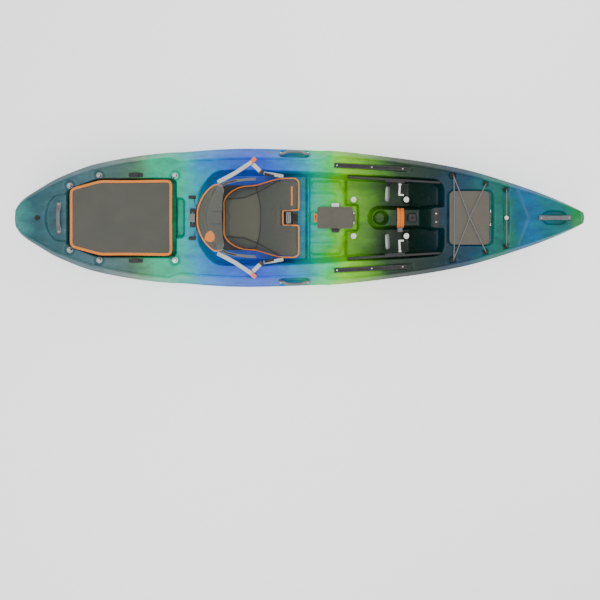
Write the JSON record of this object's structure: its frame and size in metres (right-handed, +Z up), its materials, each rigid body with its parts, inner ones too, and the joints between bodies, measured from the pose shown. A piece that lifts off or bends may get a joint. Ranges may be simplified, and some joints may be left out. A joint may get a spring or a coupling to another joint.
{
  "type": "sit-on-top paddling boat",
  "caption": "Sit-on-top boat with a framed folding seat, sliding foot braces, two hinged hatches and a covered rear well.",
  "frame": {"origin": "middle of the boat at the keel line, on the surface it rests on", "axes": "+X towards the bow, +Y to port, +Z up"},
  "size_m": [3.25, 0.8184, 0.6479],
  "materials": {
    "hull_shell": "rotomoulded polyethylene, swirled from green to blue to lime, semi gloss",
    "black_plastic": "moulded black nylon, fine grain",
    "grey_plastic": "moulded grey nylon, fine grain",
    "lid_plastic": "brown-grey moulded lid, fine grain",
    "white_plastic": "moulded white plastic",
    "orange_plastic": "moulded orange plastic",
    "steel": "stainless fasteners, satin",
    "foam": "closed cell foam block",
    "seal_rubber": "soft black seal",
    "seat_fabric": "olive grey woven polyester over foam",
    "cover_mesh": "olive grey coated mesh",
    "orange_piping": "orange woven binding",
    "black_webbing": "black woven webbing",
    "grey_webbing": "pale grey woven webbing",
    "orange_webbing": "orange elastic strap",
    "cord_grey": "grey braided shock cord",
    "cord_black": "black braided shock cord",
    "aluminium_spine": "grey anodised aluminium"
  },
  "bodies": {
    "hull": {"hull": "hull_shell", "skid_plate": "black_plastic", "seat_foam_block": "foam", "drain_plug": "grey_plastic", "bow_handle": "grey_plastic", "stern_handle": "grey_plastic", "port_handle": "grey_plastic", "starboard_handle": "grey_plastic", "handle_screws": "steel", "rail_port": "black_plastic", "rail_starboard": "black_plastic", "rail_screws": "steel", "foot_track_port": "black_plastic", "foot_track_starboard": "black_plastic", "track_screws": "steel", "centre_hinge_pin": "steel", "bottle_strap": "orange_webbing", "strap_tab": "grey_plastic", "accessory_socket": "black_plastic", "console_plate": "black_plastic", "console_screws": "steel", "bow_gasket": "seal_rubber", "bow_hinge_pin": "steel", "bow_eyes": "black_plastic", "bow_shock_cord": "cord_grey", "keeper_cord": "cord_grey", "well_cover": "cover_mesh", "cover_piping": "orange_piping", "cover_hooks": "steel", "cover_loops": "black_webbing", "side_clips": "black_plastic", "cord_cleats": "black_plastic", "webbing_bracket": "black_plastic", "anchor_clips": "orange_plastic", "seat_pan": "black_plastic", "seat_cushion": "seat_fabric", "lift_strap": "black_webbing", "lift_buckle": "grey_plastic", "back_hinge_pin": "steel", "side_straps": "grey_webbing", "front_straps": "grey_webbing", "strap_buckles": "black_plastic", "rear_cords": "cord_black"},
    "backrest": {"back_spine": "aluminium_spine", "back_brackets": "grey_plastic", "back_shell": "black_plastic", "back_pad": "seat_fabric"},
    "peg_port": {"peg_carriage_port": "grey_plastic", "foot_pad_port": "grey_plastic"},
    "peg_starboard": {"peg_carriage_starboard": "grey_plastic", "foot_pad_starboard": "grey_plastic"},
    "lever_port": {"lock_lever_port": "white_plastic"},
    "lever_starboard": {"lock_lever_starboard": "white_plastic"},
    "centre_lid": {"centre_lid": "lid_plastic", "lid_pull_tab": "orange_plastic"},
    "latch_port": {"latch_port": "grey_plastic"},
    "latch_starboard": {"latch_starboard": "black_plastic"},
    "bow_lid": {"bow_lid": "lid_plastic"},
    "toggle": {"toggle_ball": "white_plastic"}
  },
  "joints": [
    {"name": "backrest_fold", "type": "hinge", "parent": "hull", "child": "backrest", "pos_m": [-0.48701, 0, 0.25], "axis": [0, 1, 0], "range_deg": [0, 70], "deforming": ["side_straps", "rear_cords"]},
    {"name": "peg_slide_port", "type": "slide", "parent": "hull", "child": "peg_port", "axis": [0.9983, -0.0579, 0], "range_m": [-0.18, 0.18]},
    {"name": "peg_slide_starboard", "type": "slide", "parent": "hull", "child": "peg_starboard", "axis": [0.9983, 0.0579, 0], "range_m": [-0.18, 0.18]},
    {"name": "lock_lever_port_lift", "type": "hinge", "parent": "peg_port", "child": "lever_port", "pos_m": [0.5793, 0.19473, 0.30926], "axis": [-0.9983, 0.0579, 0], "range_deg": [0, 30], "stiffness_Nm_per_rad": 0.3},
    {"name": "lock_lever_starboard_lift", "type": "hinge", "parent": "peg_starboard", "child": "lever_starboard", "pos_m": [0.5793, -0.19473, 0.30926], "axis": [0.9983, 0.0579, 0], "range_deg": [0, 30], "stiffness_Nm_per_rad": 0.3},
    {"name": "centre_lid_hinge", "type": "hinge", "parent": "hull", "child": "centre_lid", "pos_m": [0.3241, 0, 0.158], "axis": [0, 1, 0], "range_deg": [0, 110]},
    {"name": "latch_port_flip", "type": "hinge", "parent": "centre_lid", "child": "latch_port", "pos_m": [0.2126, 0.07, 0.159], "axis": [1, 0, 0], "range_deg": [0, 80]},
    {"name": "latch_starboard_flip", "type": "hinge", "parent": "centre_lid", "child": "latch_starboard", "pos_m": [0.2126, -0.07, 0.159], "axis": [-1, 0, 0], "range_deg": [0, 80]},
    {"name": "bow_lid_hinge", "type": "hinge", "parent": "hull", "child": "bow_lid", "pos_m": [1.09407, 0, 0.34593], "axis": [0, 1, 0], "range_deg": [0, 35], "deforming": ["bow_shock_cord"]},
    {"name": "toggle_slide", "type": "slide", "parent": "hull", "child": "toggle", "axis": [0, 1, 0], "range_m": [-0.11, 0.11]}
  ]
}
